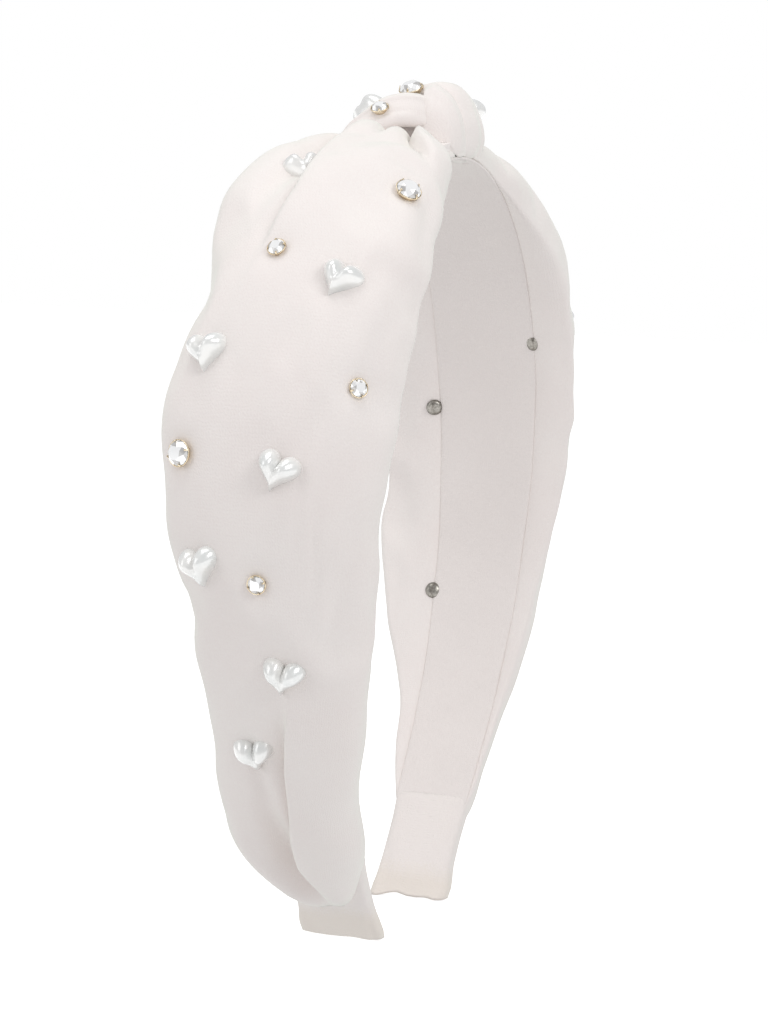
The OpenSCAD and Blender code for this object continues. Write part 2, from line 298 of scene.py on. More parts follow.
def cloth_material(name, low, high, thread, strength, roughness=0.8, sheen=0.45, painted_hem_shade=False):
    """Crepe between two tones, with thread giving its fineness; with painted hem shade the lower part of the
    piece keeps to the low, yellower tone
    """
    material, tree, shader = new_material(name, high, roughness)
    shader.inputs["Sheen Weight"].default_value = sheen
    shader.inputs["Sheen Roughness"].default_value = 0.45
    shader.inputs["Sheen Tint"].default_value = (0.86, 1.0, 0.88, 1)
    shader.inputs["Specular IOR Level"].default_value = 0.25
    blotch, speckle = add_noise(tree, BLOTCH, 3), add_noise(tree, SPECKLE, 2)
    tone = tree.nodes.new("ShaderNodeMix")
    tone.inputs["Factor"].default_value = 0.45
    tree.links.new(blotch.outputs["Fac"], tone.inputs["A"])
    tree.links.new(speckle.outputs["Fac"], tone.inputs["B"])
    amount = tone.outputs["Result"]
    if painted_hem_shade:
        # painted shade: the tone falls to the low, yellower one towards the bottom of the piece, darkest at
        # the hem
        place = tree.nodes.new("ShaderNodeTexCoord")
        parts = tree.nodes.new("ShaderNodeSeparateXYZ")
        hem_shade_fade = tree.nodes.new("ShaderNodeMapRange")
        hem_shade_fade.inputs["From Min"].default_value, hem_shade_fade.inputs["From Max"].default_value = 0.1, 0.5
        hem_shade_fade.inputs["To Min"].default_value, hem_shade_fade.inputs["To Max"].default_value = 0.35, 1.6
        tree.links.new(place.outputs["Generated"], parts.inputs[0])
        tree.links.new(parts.outputs["Z"], hem_shade_fade.inputs["Value"])
        product = tree.nodes.new("ShaderNodeMath")
        product.operation = "MULTIPLY"
        tree.links.new(amount, product.inputs[0])
        tree.links.new(hem_shade_fade.outputs["Result"], product.inputs[1])
        amount = product.outputs[0]
    blend_colours(tree, shader, amount, low, high)
    weave = add_weave(tree, thread)
    crinkle = add_noise(tree, CRINKLE, 3)
    both = tree.nodes.new("ShaderNodeMath")
    both.operation = "ADD"
    tree.links.new(weave, both.inputs[0])
    tree.links.new(crinkle.outputs["Fac"], both.inputs[1])
    add_bump(tree, shader, both.outputs[0], strength, 0.00006)
    return material


crepe = cloth_material("ivory_crepe", (0.83, 0.765, 0.742), (0.85, 0.8, 0.775), 0.52, 0.4)


ROUNDING = 0.91


def signed_pow(v, e):
    return np.sign(v) * np.abs(v) ** e


def lip(s):
    """Half width of the lining or the cuff that a cover's edge meets"""
    return np.where(s > LEG_L - SEAM, np.maximum(half_band(s), CUFF_LIP), half_band(s)) + 0.25


def reach(shape, s, turns):
    """How far the cover reaches across the band, to the back or to the front"""
    return np.where(np.cos(turns) > 0, through(shape["back"], s), through(shape["front"], s))


def cover_section(shape, s, turns):
    """Across place and rise of the cover at distance s, for turns from the back edge over to the front"""
    sin = np.sin(turns)
    y = reach(shape, s, turns) * signed_pow(np.cos(turns), ROUNDING)
    past = np.clip((np.abs(y) - lip(s)) / 9, 0, 1)
    under = UNDER_LINING + 0.9 * np.sin(math.pi * past ** 0.7)
    full = 1 - (1 - np.clip(np.abs(sin) / 0.35, 0, 1)) ** 2
    return y, np.where(sin < 0, -under * full, through(shape["puff"], s) * np.abs(sin) ** ROUNDING)


def fold_over(away, size, top, bottom, lean):
    """A pleat's edge: the cloth on the positive side lies over the other side"""
    step = np.tanh(away / (0.45 + 3.0 * max(0.0, 1 - size) ** 2))
    lift = np.where(away > 0, top * np.exp(-np.abs(away) / 6), bottom * np.exp(-np.abs(away) / 5)) * step
    slide = -lean * np.exp(-((away - 0.3) / 1.6) ** 2)
    return size * lift, size * slide


def soft_ridge(away, size, width):
    """A rounded ridge, or with a negative size a soft valley"""
    return size * np.exp(-(away / width) ** 2), 0 * away


COLS, DENSE = 105, 481
DIMPLE, DIMPLE_R = 0.8, 3.6
EDGE_WAVE, WOBBLE = 0.6, 0.7


def edge_turns(shape, s):
    """The turns at which a cover meets the lining, behind and in front"""
    ends = []
    for turn in (0, math.pi):
        ends.append(math.acos(min(1, (lip(s) / max(reach(shape, s, turn), lip(s))) ** 1.1)))
    return -ends[0], math.pi + ends[1]


def cover_grid(side, shape):
    """Points of one cover, row by row from the knot to the tip"""
    rows = []
    stations = np.concatenate([np.arange(6.9, 40, 0.7), np.arange(40, 130, 1.1), np.arange(130, 190.6, 0.75)])
    for s in stations:
        turns = np.linspace(*edge_turns(shape, s), DENSE)
        y, rise = cover_section(shape, s, turns)
        wave = [noise.noise(Vector((s / 9, side * 7 + np.sign(v), shape["seed"]))) for v in (-1.0, 1.0)]
        y = y + np.interp(y, (-20, -8, 8, 20), (-1, 0, 0, 1)) * np.where(y < 0, wave[0], wave[1]) * EDGE_WAVE
        length = np.concatenate([[0], np.cumsum(np.hypot(np.diff(y), np.diff(rise)))])
        ty, tr = np.gradient(y, length + 1e-9), np.gradient(rise, length + 1e-9)
        size = np.hypot(ty, tr) + 1e-9
        ty, tr = ty / size, tr / size
        lift, slide = np.zeros(DENSE), np.zeros(DENSE)
        for kind, line, strength, *values in shape["folds"]:
            first, last = line[0][0], line[-1][0]
            if not first - 12 < s < last + 12:
                continue
            here = np.interp(math.radians(float(through(line, np.clip(s, first, last)))), turns, length)
            amount = float(np.interp(s, *np.array(strength, float).T))
            more_lift, more_slide = kind((length - here) * shape["flip"], amount, *values)
            lift += more_lift
            slide += more_slide * shape["flip"]
        for trim_s, trim_turn, _ in shape["hearts"] + shape["crystals"]:
            if abs(s - trim_s) < 3 * DIMPLE_R:
                here = np.interp(math.radians(trim_turn), turns, length)
                lift -= DIMPLE * np.exp(-((length - here) ** 2 + (s - trim_s) ** 2) / DIMPLE_R ** 2)
        edge = np.clip(np.minimum(length, length[-1] - length) / 5, 0, 1)
        wobble = np.array([noise.noise(Vector((side * 40 + s / 17, t / 13, shape["seed"]))) for t in length])
        lift = (lift + WOBBLE * wobble) * edge
        slide = slide * edge
        y, rise = y + slide * ty + lift * tr, rise + slide * tr - lift * ty
        hem = np.array([1.8, 0.9])
        y = np.concatenate([y[0] - hem, y, y[-1] + hem[::-1]])
        rise = np.concatenate([[rise[0]] * 2, rise, [rise[-1]] * 2])
        length = np.concatenate([[0], np.cumsum(np.hypot(np.diff(y), np.diff(rise)))])
        share = np.linspace(0, length[-1], COLS)
        y, rise = np.interp(share, length, y), np.interp(share, length, rise)
        rows.append(on_arch(side, np.full(COLS, s), y, rise))
    return stations, np.array(rows)


# Each half, with distances from the crown. Reach behind and in front, and how far the cloth stands off, are
# given at a few stations. Trim is as in the frame: distance, turn round the section, and spin or size. A fold
# has its line as distances and turns, its strength along the way, and its shape.
LEFT = {
    "back": [(9, 10.6), (14, 12.2), (22, 14.6), (32, 18.4), (44, 21.4), (60, 20.8), (72, 21.0), (86, 23.0),
             (100, 22.2), (125, 18.0), (138, 15.8), (150, 15.8), (164, 17.2), (176, 16.2), (184, 12),
             (190.5, 6.5)],
    "front": [(9, 11.2), (14, 11.0), (22, 13.2), (30, 16), (50, 19.6), (75, 20.2), (100, 18.6), (125, 16.8),
              (150, 12), (162, 9.6), (176, 8.4), (182, 7.2), (190.5, 3.6)],
    "puff": [(9, 2.8), (14, 4.0), (18, 6.2), (30, 8.2), (60, 9.5), (100, 9), (140, 7.5), (170, 6.4),
             (182, 5.4), (187, 4.2), (190.5, 2.2)],
    "seed": 1.7,
    "flip": 1,
    "hearts": [(38, 66, 20), (66, 110, -22), (79, 52, 10), (97, 94, -18), (113, 54, 12), (131, 96, -10),
               (148, 68, 6)],
    "crystals": [(45, 135, 1), (61, 78, 0), (83, 132, 0), (95, 44, 1), (115, 86, 0)],
    "folds": [
        # the long pleat down from the knot, with a valley behind it and the shoulder beyond
        (fold_over, [(10, 88), (32, 85), (44, 80), (60, 71), (78, 55)],
         [(10, 1), (34, 1.15), (48, 0.8), (62, 0.25), (78, 0)], 1.2, 4.4, 1.7),
        (soft_ridge, [(16, 66), (36, 66), (52, 52)], [(12, 0), (24, -2.6), (42, -2.0), (60, 0)], 3.0),
        (soft_ridge, [(20, 34), (50, 22)], [(16, 0), (28, 1.2), (46, 1.2), (62, 0)], 4.0),
        # the gathers at the knot and the lobe in front of them
        (fold_over, [(10, 127), (22, 132), (29, 141), (35, 154)], [(10, 1), (22, 1.2), (30, 0.9), (37, 0)],
         0.9, 3.6, 1.2),
        (soft_ridge, [(10, 98), (30, 98)], [(10, -3.2), (20, -2.6), (29, 0)], 0.9),
        (soft_ridge, [(10, 112), (30, 112)], [(10, 0.8), (22, 0.6), (34, 0)], 2.0),
        (soft_ridge, [(10, 154), (50, 166)], [(10, -3.4), (16, -2.0), (27, 1.2), (55, 0)], 4.0),
        (soft_ridge, [(34, 158), (60, 168)], [(34, 0), (46, -1.2), (60, 0)], 2.4),
        # the front of the cover rolled over the back of it at the tip, and the pocket between
        (fold_over, [(136, 99), (146, 95), (156, 93), (168, 88), (178, 90), (190, 108)],
         [(130, 0), (140, 0.55), (150, 1.05), (174, 1.25), (184, 0.4), (190, 0.1)], 1.1, 4.0, 1.2),
        (soft_ridge, [(152, 72), (168, 72), (180, 78), (190, 96)],
         [(152, 0), (164, -1.8), (176, -3.0), (190, -0.8)], 2.2),
        (soft_ridge, [(160, 38), (176, 50), (188, 78)], [(156, 0), (170, 1.4), (184, 1.6), (190, 0.8)], 2.8),
        # faint creases
        (soft_ridge, [(146, 66), (158, 72)], [(142, 0), (150, -1.1), (160, 0)], 1.5),
        (soft_ridge, [(99, 117), (118, 116)], [(98, 0), (108, -0.6), (120, 0)], 1.0),
        (soft_ridge, [(84, 30), (128, 36)], [(80, 0), (100, 0.7), (130, 0)], 4.0),
        (soft_ridge, [(88, 108), (112, 104)], [(86, 0), (98, -0.5), (112, 0)], 1.1),
        (soft_ridge, [(46, 110), (80, 92)], [(44, 0), (60, -0.6), (82, 0)], 4.5),
    ],
}
RIGHT = {
    "back": [(9, 11), (14, 12.6), (22, 15), (32, 18.5), (50, 21.8), (75, 22.6), (100, 23.6), (125, 22.4),
             (145, 16.2), (156, 12.4), (168, 10.6), (178, 8.4), (184, 6.6), (190.5, 5)],
    "front": [(9, 10.8), (14, 10.8), (22, 11.0), (30, 12.6), (50, 18), (75, 19.4), (100, 18.6), (125, 14.8),
              (150, 10.8), (168, 9.2), (178, 8.3), (184, 6.4), (190.5, 4.5)],
    "puff": [(9, 4.6), (13, 5.2), (18, 6.6)] + LEFT["puff"][3:],
    "seed": 6.3,
    "flip": -1,
    "hearts": [(36, 112, -20), (60, 66, 18), (74, 134, -10), (96, 84, 14), (114, 118, -12), (131, 58, 10),
               (149, 104, -6)],
    "crystals": [(46, 54, 1), (66, 96, 0), (89, 52, 0), (98, 118, 1), (121, 88, 0)],
    "folds": [
        (fold_over, [(10, 92), (32, 95), (44, 100), (60, 109), (78, 122)],
         [(10, 1), (30, 1.1), (50, 0.7), (80, 0)], 0.9, 4.0, 1.7),
        (fold_over, [(10, 63), (24, 60), (30, 50), (36, 30)], [(10, 1), (24, 1.2), (32, 0.8), (42, 0)],
         0.6, 3.0, 1.2),
        (soft_ridge, [(10, 74), (32, 72)], [(10, -2.2), (20, -1.8), (32, 0)], 1.2),
        (soft_ridge, [(20, 150), (50, 158)], [(16, 0), (28, 1.2), (60, 0)], 4.0),
        (fold_over, [(138, 84), (150, 88), (168, 92), (190, 92)],
         [(132, 0), (150, 0.4), (170, 1.0), (190, 0.9)], 1.2, 2.4, 1.2),
        (soft_ridge, [(100, 62), (118, 66)], [(98, 0), (108, -0.5), (120, 0)], 1.1),
    ],
}


SPARE, FARTHEST = 0.03, 1.2
SETTLE_FRAMES, EVENED = 12, 5


def nearest_run(p):
    """The distance along the arch, from the crown, of the place nearest to p"""
    runs = np.arange(0, LEG_L, 2.0)
    places = on_arch(1, runs, 0, 0) * MM
    return runs[np.argmin((places[:, 0] - abs(p.x)) ** 2 + (places[:, 2] - p.z) ** 2)]


def settle(piece, held, shape):
    """Lets the cloth settle with a little spare length. Held says how firmly each point is kept, and the
    movement is evened over neighbouring rows and columns, then capped."""
    count = len(piece.data.vertices)
    before = np.empty(count * 3)
    piece.data.vertices.foreach_get("co", before)
    group = piece.vertex_groups.new(name="held")
    for index, weight in enumerate(held):
        group.add([index], float(weight), "REPLACE")
    drape = piece.modifiers.new("drape", "CLOTH")
    drape.settings.quality = 6
    drape.settings.mass = 0.15
    drape.settings.tension_stiffness = 15
    drape.settings.compression_stiffness = 15
    drape.settings.shear_stiffness = 5
    drape.settings.bending_stiffness = 0.02
    drape.settings.vertex_group_mass = "held"
    drape.settings.pin_stiffness = 1.0
    drape.settings.shrink_min = -SPARE
    drape.settings.effector_weights.gravity = 0
    drape.collision_settings.use_collision = False
    for step in range(1, SETTLE_FRAMES + 1):
        bpy.context.scene.frame_set(step)
    bpy.context.view_layer.objects.active = piece
    bpy.ops.object.modifier_apply(modifier=drape.name)
    bpy.context.scene.frame_set(1)
    after = np.empty(count * 3)
    piece.data.vertices.foreach_get("co", after)
    move = (after - before).reshape(*shape, 3)
    for _ in range(EVENED):
        move[1:-1] = (move[:-2] + 2 * move[1:-1] + move[2:]) / 4
        move[:, 1:-1] = (move[:, :-2] + 2 * move[:, 1:-1] + move[:, 2:]) / 4
    move = move.reshape(-1, 3)
    far = np.linalg.norm(move, axis=1, keepdims=True)
    move *= np.minimum(1, FARTHEST * MM / np.maximum(far, 1e-9))
    piece.data.vertices.foreach_set("co", (before.reshape(-1, 3) + move).ravel())
    piece.vertex_groups.clear()


covers = {}
for name, side, shape in (("left_cover", -1, LEFT), ("right_cover", 1, RIGHT)):
    stations, grid = cover_grid(side, shape)
    cover = grid_piece(name + "_cloth", grid, (68, 182))
    turn_outward(cover, lambda p: Vector(on_arch(side, nearest_run(p), 0, 0) * MM))
    row, col = np.indices(grid.shape[:2])
    # firm at the rim, at the knot and at the tip, loose between
    rim = np.minimum(np.minimum(row, len(grid) - 1 - row) / 4, np.minimum(col, COLS - 1 - col) / 12)
    firm = np.interp(stations, (14, 30, 128, 142), (0.5, 0.05, 0.05, 0.5))[:, None]
    settle(cover, np.clip(np.maximum(1.05 - rim, firm), 0, 1).ravel(), grid.shape[:2])
    cover.data.materials.append(crepe)
    use_modifier(cover, "SOLIDIFY", thickness=CLOTH_T * MM, offset=-1)
    cover.data.polygons.foreach_set("use_smooth", [True] * len(cover.data.polygons))
    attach(cover, "root")
    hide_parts(name)
    covers[side] = cover

# ---- The lining ----
# One strip of the same crepe along the inside of the arch, from cuff to cuff. Its
# turned edges are glued down over the covers' edges, so they stand a little proud.

LINING_OUT, LINING_SPAN, LINING_T = -2.25, 181, 0.5
RIPPLE = 0.28
# painted shade: the lining's two tones are darker than the covers' crepe, for the shade on the inside of the
# arch
lining_crepe_shaded = cloth_material("lining_crepe_shaded", (0.79, 0.735, 0.712), (0.82, 0.765, 0.742), 0.5, 0.6, 0.85, 0.2)
runs = np.arange(-LINING_SPAN, LINING_SPAN + 0.1, 1.4)
across = np.linspace(-1, 1, 29)
rows = []
for run in runs:
    side, s = (-1 if run < 0 else 1), np.full(len(across), abs(run))
    half = half_band(abs(run)) + 0.55 + 0.2 * noise.noise(Vector((run / 14, 3, 2)))
    ripple = np.array([noise.noise(Vector((run / 16, v * 1.2, 9))) for v in across])
    edge = np.abs(across) ** 8
    rows.append(on_arch(side, s, across * half, LINING_OUT + RIPPLE * ripple * (1 - edge) + 0.3 * edge))
lining = grid_piece("lining_cloth", np.array(rows), (20, 362))
turn_outward(lining, lambda p: Vector(on_arch(math.copysign(1, p.x), nearest_run(p), 0, 9) * MM))
use_modifier(lining, "SOLIDIFY", thickness=LINING_T * MM, offset=0)
use_modifier(lining, "BEVEL", width=0.2 * MM, segments=2, limit_method="ANGLE", angle_limit=math.radians(50))
lining.data.polygons.foreach_set("use_smooth", [True] * len(lining.data.polygons))
lining.data.materials.append(lining_crepe_shaded)
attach(lining, "root")
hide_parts("band_lining")

# ---- The tip cuffs ----
# A short sleeve of crepe glued round each tip, over the lining and under the
# cover's gathered end. It spreads at the hem, which is pressed flat; the yellow
# tone at the hem is painted shade, darker towards the bottom of the cuff.

CUFF_W, HEM_W, WAIST = 15.6, 16.2, 0.4
CUFF_MID, CUFF_HALF, HEM_HALF = -0.45, 2.4, 1.95
HUG, HUG_W, HUG_HALF = (1, 0.8, 0.45, 0.15), 7.7, 1.95
SQUARE = 0.5
CUFF_ROWS = np.concatenate([[-0.02, -0.02, 0, 0.015, 0.05], np.linspace(0.08, 0.9, 26), [0.94, 0.97, 1, 1, 1]])
HEM_ROWS = {34: (0.3, 0.62), 35: (0.6, 0.3)}
# painted shade: the cuff's lower part and hem get the low, yellower tone, darker towards the bottom
cuff_crepe = cloth_material("cuff_crepe", (0.8, 0.735, 0.68), (0.83, 0.775, 0.75), 0.5, 0.6, 0.85, 0.3, True)
for name, side in (("left_tip_cuff", -1), ("right_tip_cuff", 1)):
    turns = np.linspace(0, 2 * math.pi, 96, endpoint=False)
    rows = []
    for v in CUFF_ROWS:
        last = len(rows) > 33
        flare = np.clip((v - 0.5) / 0.4, 0, 1)
        wide = CUFF_W / 2 - WAIST * math.sin(math.pi / 2 * min(1, max(0, v) / 0.45))
        wide += ((HEM_W - CUFF_W) / 2 + WAIST) * flare ** 2
        deep = CUFF_HALF + (HEM_HALF - CUFF_HALF) * flare
        # the top edge lies close on the lining and the band, and the hem turns in
        hug = HUG[len(rows)] if len(rows) < len(HUG) else 0
        wide, deep = wide + (HUG_W - wide) * hug, deep + (HUG_HALF - deep) * hug
        if last:
            narrower, share = HEM_ROWS[len(rows)]
            wide, deep = wide - narrower, deep * share
        fold = np.array([noise.noise(Vector((math.cos(q) * 2.2 + side * 5, math.sin(q) * 1.4, v * 3.2)))
                         for q in turns]) * (0.25 + 0.5 * flare) * (not last)
        y = (wide + 0.5 * fold) * signed_pow(np.cos(turns), SQUARE)
        out = CUFF_MID - 0.2 * hug + (deep + fold * 0.7) * signed_pow(np.sin(turns), SQUARE)
        wavy = np.array([noise.noise(Vector((w / 4.5, side * 3.0, 5))) for w in y])
        end = LEG_L - out * math.tan(LEAN) - 0.9 * flare * (1 + wavy)
        start = LEG_L - SEAM
        rows.append(on_arch(side, start + (end - start) * v, y, out))
    grid = np.array(rows)
    cuff = grid_piece(name + "_cloth", grid, (34, 22), round_way=True)
    turn_outward(cuff, lambda p: Vector(on_arch(side, nearest_run(p), 0, CUFF_MID) * MM))
    cuff.data.materials.append(cuff_crepe)
    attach(cuff, "root")
    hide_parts(name)

# ---- The knot ----
# Two folded straps of crepe lie across the crown, one on each side, and a fuller
# roll rises from under the near one and fans down over the front edge.


STRAP_T = 0.5


def along_rungs(table, rungs):
    """Each column of a table, as a smooth curve read at places counted in rows"""
    return [through(list(zip(range(len(table)), column)), rungs) for column in np.array(table, float).T]


def folded_strap(name, stations, pleats, seed):
    """A folded strip open underneath; stations give its middle, half width, half thickness and lean"""
    stations = np.array(stations, float)
    rungs = np.linspace(0, len(stations) - 1, 64)
    x, y, z, wide, deep, lean = along_rungs(stations, rungs)
    middle = np.stack([x, y, z], axis=-1)
    along = np.gradient(middle, axis=0)
    along /= np.linalg.norm(along, axis=1, keepdims=True)
    turns = np.linspace(-1.35, math.pi + 1.35, 73)
    rows = []
    for i in range(len(rungs)):
        out = middle[i] - np.array([middle[i][0], 0, 144.0])
        out -= along[i] * out.dot(along[i])
        out /= np.linalg.norm(out)
        over = np.cross(along[i], out)
        over *= np.sign(over[0])
        tilt = math.radians(lean[i])
        out, over = out * math.cos(tilt) + over * math.sin(tilt), over * math.cos(tilt) - out * math.sin(tilt)
        u = signed_pow(np.cos(turns), 0.8)
        rise = deep[i] * signed_pow(np.sin(turns), 0.8)
        for place, size, breadth, first, last in pleats:
            way = rungs[i] / rungs[-1]
            share = np.clip((way - first) / 0.15, 0, 1) * np.clip((last - way) / 0.15, 0, 1)
            rise += size * share * np.exp(-((u - place) / breadth) ** 2) * (np.sin(turns) > 0)
        rise += 0.25 * np.array([noise.noise(Vector((v * 1.5, i / 9, seed))) for v in u])
        rows.append(middle[i] + np.outer(u * wide[i], over) + np.outer(rise, out))
    strap = grid_piece(name + "_cloth", np.array(rows), (24, 34))
    middle *= MM
    turn_outward(strap, lambda p: Vector(middle[np.argmin(np.linalg.norm(middle - np.array(p), axis=1))]))
    return strap


def finish_strap(strap, name):
    strap.data.materials.append(crepe)
    use_modifier(strap, "SOLIDIFY", thickness=STRAP_T * MM, offset=-1)
    strap.data.polygons.foreach_set("use_smooth", [True] * len(strap.data.polygons))
    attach(strap, "root")
    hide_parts(name)


near = folded_strap("left_strap", [
    (-12.8, 11.6, 148.4, 3.0, 0.8, -30), (-12.8, 9.6, 150.8, 3.1, 1.0, -40),
    (-12.2, 6.2, 154.2, 3.4, 1.3, -48), (-10.8, 1.8, 157.2, 3.7, 1.5, -50),
    (-8.2, -2.6, 158.1, 3.7, 1.5, -50), (-4.2, -6, 157.2, 3.2, 1.1, -45)],
    [(0.55, 0.35, 0.16, 0, 1), (-0.35, -0.3, 0.14, 0, 0.8)], 2.2)
finish_strap(near, "left_strap")
far = folded_strap("right_strap", [
    (9.6, 11.6, 149.8, 5.0, 0.8, 20), (9.4, 10.8, 153.0, 4.8, 1.3, 26), (8.6, 5, 158, 4.6, 1.8, 26),
    (6.8, -1.5, 160.7, 5.2, 2.2, 16), (5.6, -6.4, 160.9, 5.6, 2.4, 8), (4.8, -9.2, 157.2, 6.2, 2.2, 4),
    (4.6, -10.3, 153.4, 6.6, 1.8, 0), (4.6, -10.0, 150.6, 6.8, 1.2, 0), (4.6, -8.0, 149.6, 6.6, 0.6, 0)],
    [(0.45, -0.5, 0.16, 0.3, 1), (-0.2, 0.3, 0.2, 0.2, 1)], 4.8)
finish_strap(far, "right_strap")

# The roll's rows, each with the place and height of its foot and its top, and its half width. The first
# ones tuck down behind, the doubled-back ones make the vertical fold, and the rest fan over the front.
ROLL_X = -2.4
SLANT = 0.31
roll_rows = [
    (10.6, 149.6, 10.8, 150.0, 6.6), (11.2, 149.4, 11.9, 152.4, 7.0), (9.0, 150, 9.2, 156.2, 6.6),
    (4, 150.6, 4, 160.2, 5.6), (-0.6, 150.6, -0.6, 161.5, 4.8), (-2.6, 150.6, -3.2, 161.0, 4.8),
    (-2.4, 150.2, -3.2, 161.3, 5.8), (-2.2, 149.8, -2.9, 162.4, 6.6), (-2.9, 149.7, -3.8, 162.7, 6.8),
    (-3.6, 149.7, -5.2, 162.7, 6.8), (-4.8, 149.7, -8.2, 160.9, 6.7), (-6.2, 149.8, -10.4, 157.2, 6.6),
    (-7.4, 150.2, -11.4, 153, 6.4), (-8, 150.4, -11.2, 150.2, 6.2), (-7.8, 149.9, -9.8, 148.6, 5.9),
    (-6, 149.6, -6.6, 148.5, 5.4)]
fold_at = 7 / (len(roll_rows) - 1)
rungs = np.linspace(0, len(roll_rows) - 1, 76)
foot_y, foot_z, top_y, top_z, halves = along_rungs(roll_rows, rungs)
turns = np.linspace(-0.25, math.pi + 0.25, 65)
rows = []
for i in range(len(rungs)):
    u, v = signed_pow(np.cos(turns), 0.8), signed_pow(np.sin(turns), 0.85)
    fan = np.clip((i / (len(rungs) - 1) - fold_at) / 0.1, 0, 1)
    crease = fan * (0.035 * np.exp(-((u + 0.1) / 0.12) ** 2) - 0.05 * np.exp(-((u - 0.12) / 0.1) ** 2)
                    - 0.03 * np.exp(-((u + 0.62) / 0.12) ** 2) + 0.03 * np.exp(-((u + 0.45) / 0.14) ** 2))
    soft = np.array([noise.noise(Vector((w * 1.6, i / 9, 7.7))) for w in u]) * 0.03 * fan
    v = v * (1 + crease + soft)
    x = ROLL_X + halves[i] * u
    y = foot_y[i] + (top_y[i] - foot_y[i]) * v + SLANT * (x - ROLL_X) * np.clip(1.6 - i / 45, 0, 1)
    # the roll ends in the band's thickness, and just past its edges a little lower
    floor = np.interp(np.abs(y), (9.6, 10.8), (151.6, 149.5))
    rows.append(np.stack([x, y, np.maximum(foot_z[i] + (top_z[i] - foot_z[i]) * v, floor)], axis=-1))
roll = grid_piece("knot_roll_cloth", np.array(rows), (32, 40))
turn_outward(roll, lambda p: Vector((ROLL_X * MM, 0.6 * p.y, 0.1515)))
finish_strap(roll, "knot_roll")

# ---- The rivets ----
# A short steel pin from each pearl or crystal cup through the fabric, closed by a
# domed back. Beside the band the backs show on the inner side of the covers.

RIVET_R, PIN_R = 1.75, 0.55
steel, tree, shader = new_material("rivet_steel", (0.5, 0.49, 0.47), 0.3)
shader.inputs["Metallic"].default_value = 1.0
brushed = add_noise(tree, 2600, 3)
blend_colours(tree, shader, brushed.outputs["Fac"], (0.2, 0.19, 0.17), (0.36, 0.34, 0.31))
add_bump(tree, shader, brushed.outputs["Fac"], 0.25, 0.00003)
RIVET_BACK = [(0.01, 0.9), (0.6, 0.86), (1.15, 0.72), (1.55, 0.45), (RIVET_R, 0.12), (RIVET_R, -0.15),
              (PIN_R, -0.2)]


def stand_on(place, normal, spin=0.0):
    """Puts a piece modelled on the XY plane on a surface, with its Y axis up the leg"""
    heading = Matrix.Rotation(math.atan2(normal.y, normal.x), 3, "Z")
    tilt = Matrix.Rotation(math.acos(normal.z), 3, "Y")
    turn = heading @ tilt @ Matrix.Rotation(math.radians(90 + spin), 3, "Z")
    return Matrix.Translation(place) @ turn.to_4x4()


def skin_of(*pieces):
    """A ray-casting tree over the finished fabric"""
    points, faces = [], []
    for piece in pieces:
        start = len(points)
        points += [v.co.copy() for v in piece.data.vertices]
        faces += [tuple(start + i for i in face.vertices) for face in piece.data.polygons]
    return BVHTree.FromPolygons(points, faces)


SPREAD = 2.2


def press_on(skin, start, toward):
    """Where a line meets the fabric, and the fabric's facing evened over a small ring"""
    place = skin.ray_cast(start, toward)[0]
    first = toward.orthogonal().normalized()
    second = toward.cross(first)
    facing = -toward * 0.5
    for q in np.arange(0, 2 * math.pi, math.pi / 4):
        beside = skin.ray_cast(start + (first * math.cos(q) + second * math.sin(q)) * SPREAD * MM, toward)
        if beside[0] is not None and (beside[0] - place).length < 2 * SPREAD * MM:
            facing += beside[1]
    return place, facing.normalized()


def on_cover(side, s, turn):
    """Place and outward facing, on the modelled section, of a turn at distance s"""
    shape = LEFT if side < 0 else RIGHT
    places = []
    for ds, dt in ((0, 0), (1, 0), (-1, 0), (0, 2), (0, -2)):
        y, rise = cover_section(shape, s + ds, np.radians(np.array([turn + dt])))
        places.append(Vector(on_arch(side, np.array([s + ds]), y, rise)[0] * MM))
    facing = (places[1] - places[2]).cross(places[3] - places[4]).normalized()
    outward = places[0] - Vector(on_arch(side, s, 0, 0) * MM)
    return places[0], facing if facing.dot(outward) > 0 else -facing


def lathe(profile, place, segments=24):
    """Points and faces of a turned shape, placed by a matrix; the profile holds radius and height in mm"""
    points, faces = [], []
    for radius, height in profile:
        for q in range(segments):
            turn = 2 * math.pi * q / segments
            point = Vector((radius * math.cos(turn), radius * math.sin(turn), height)) * MM
            points.append(place @ point)
    for i in range(len(profile) - 1):
        low, high = i * segments, (i + 1) * segments
        for q in range(segments):
            after = (q + 1) % segments
            faces.append((low + q, low + after, high + after, high + q))
    faces.append(tuple(range(segments)))
    faces.append(tuple(reversed(range((len(profile) - 1) * segments, len(profile) * segments))))
    return points, faces


def joined(name, shapes):
    """One mesh from many lists of points and faces"""
    points, faces = [], []
    for more_points, more_faces in shapes:
        faces += [tuple(len(points) + i for i in face) for face in more_faces]
        points += more_points
    piece = new_mesh(name, points, faces)
    work = bmesh.new()
    work.from_mesh(piece.data)
    bmesh.ops.recalc_face_normals(work, faces=work.faces)
    work.to_mesh(piece.data)
    work.free()
    return piece


knot_skin = skin_of(near, far, roll)
cover_skins = {side: skin_of(cover) for side, cover in covers.items()}


def on_knot(box_name, facing):
    """The place on the knot's fabric nearest to a trim in the frame, and a facing that is partly given"""
    low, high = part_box(box_name)
    place, normal, _, _ = knot_skin.find_nearest((Vector(low) + Vector(high)) / 2)
    return place, (normal * 0.6 + Vector(facing).normalized()).normalized()


